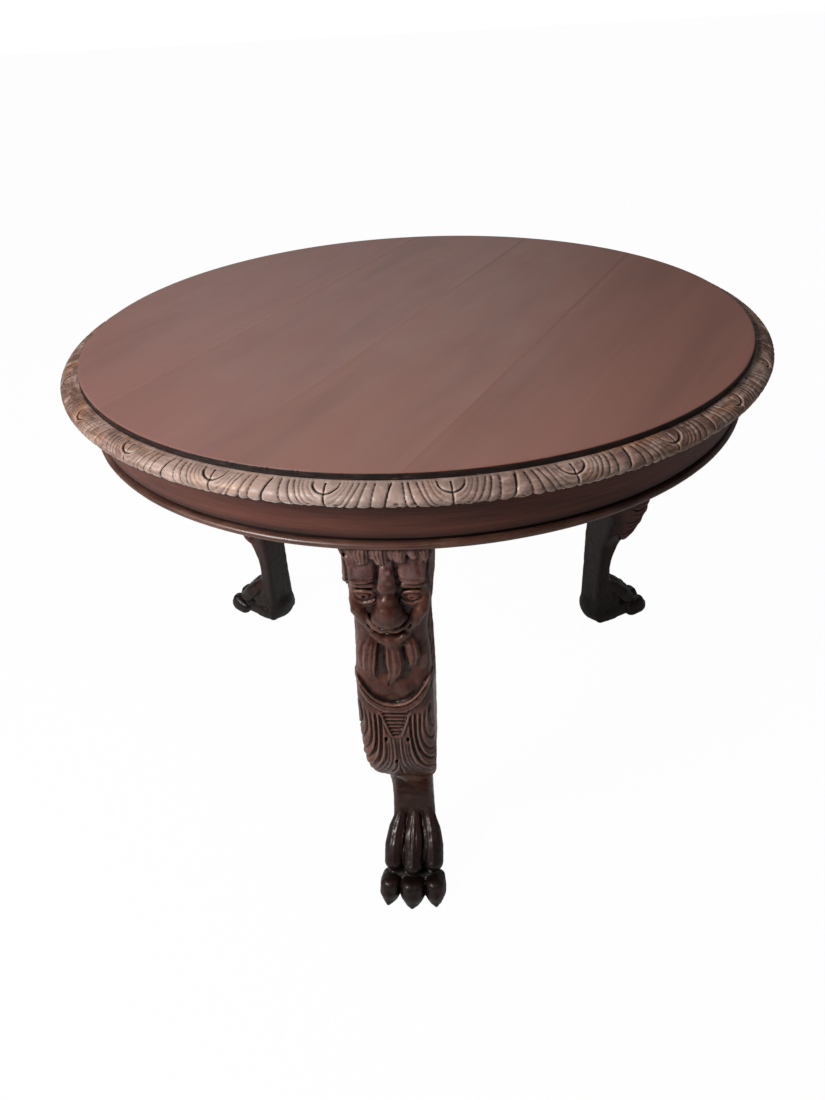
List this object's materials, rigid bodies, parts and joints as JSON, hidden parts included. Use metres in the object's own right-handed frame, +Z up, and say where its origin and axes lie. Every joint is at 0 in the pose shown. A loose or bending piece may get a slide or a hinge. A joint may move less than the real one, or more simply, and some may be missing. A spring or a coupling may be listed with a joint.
{
  "type": "round table",
  "caption": "Round table with a carved edge moulding and a plain frieze, on carved lion legs with paw feet.",
  "frame": {"origin": "on the floor at the table's axis", "axes": "+Z up; one leg stands at -Y, the others at azimuths 30 and 150 degrees"},
  "size_m": [1.071, 1.071, 0.76],
  "materials": {
    "top_wood": "worn wax over faded mahogany, satin",
    "carved_edge": "waxed carving, dark in the grooves and worn on the ridges",
    "frieze_wood": "dark stained mahogany, satin",
    "bead_wood": "dark stained mahogany, satin",
    "leg_wood": "nearly black stained mahogany, satin",
    "inner_wood": "raw secondary wood, dull",
    "steel": "dull iron"
  },
  "bodies": {
    "root": {"top_board_1": "top_wood", "top_board_2": "top_wood", "top_board_3": "top_wood", "top_board_4": "top_wood", "top_tongue_1": "inner_wood", "top_tongue_2": "inner_wood", "top_tongue_3": "inner_wood", "rim_moulding_1": "carved_edge", "rim_moulding_2": "carved_edge", "rim_moulding_3": "carved_edge", "rim_moulding_4": "carved_edge", "rim_moulding_5": "carved_edge", "rim_moulding_6": "carved_edge", "rim_screws": "steel", "apron_segment_1": "frieze_wood", "apron_segment_2": "frieze_wood", "apron_segment_3": "frieze_wood", "apron_dowels": "inner_wood", "bead_segment_1": "bead_wood", "bead_segment_2": "bead_wood", "bead_segment_3": "bead_wood", "glue_block_1": "inner_wood", "glue_block_2": "inner_wood", "glue_block_3": "inner_wood", "glue_block_4": "inner_wood", "glue_block_5": "inner_wood", "glue_block_6": "inner_wood", "leg_front": "leg_wood", "leg_right": "leg_wood", "leg_left": "leg_wood", "leg_brace_front": "inner_wood", "leg_brace_right": "inner_wood", "leg_brace_left": "inner_wood", "brace_screws": "steel", "leg_bolts": "steel", "bolt_washers": "steel", "bolt_nuts": "steel", "top_batten_1": "inner_wood", "top_batten_2": "inner_wood", "top_batten_3": "inner_wood", "batten_screws": "steel"}
  },
  "joints": []
}
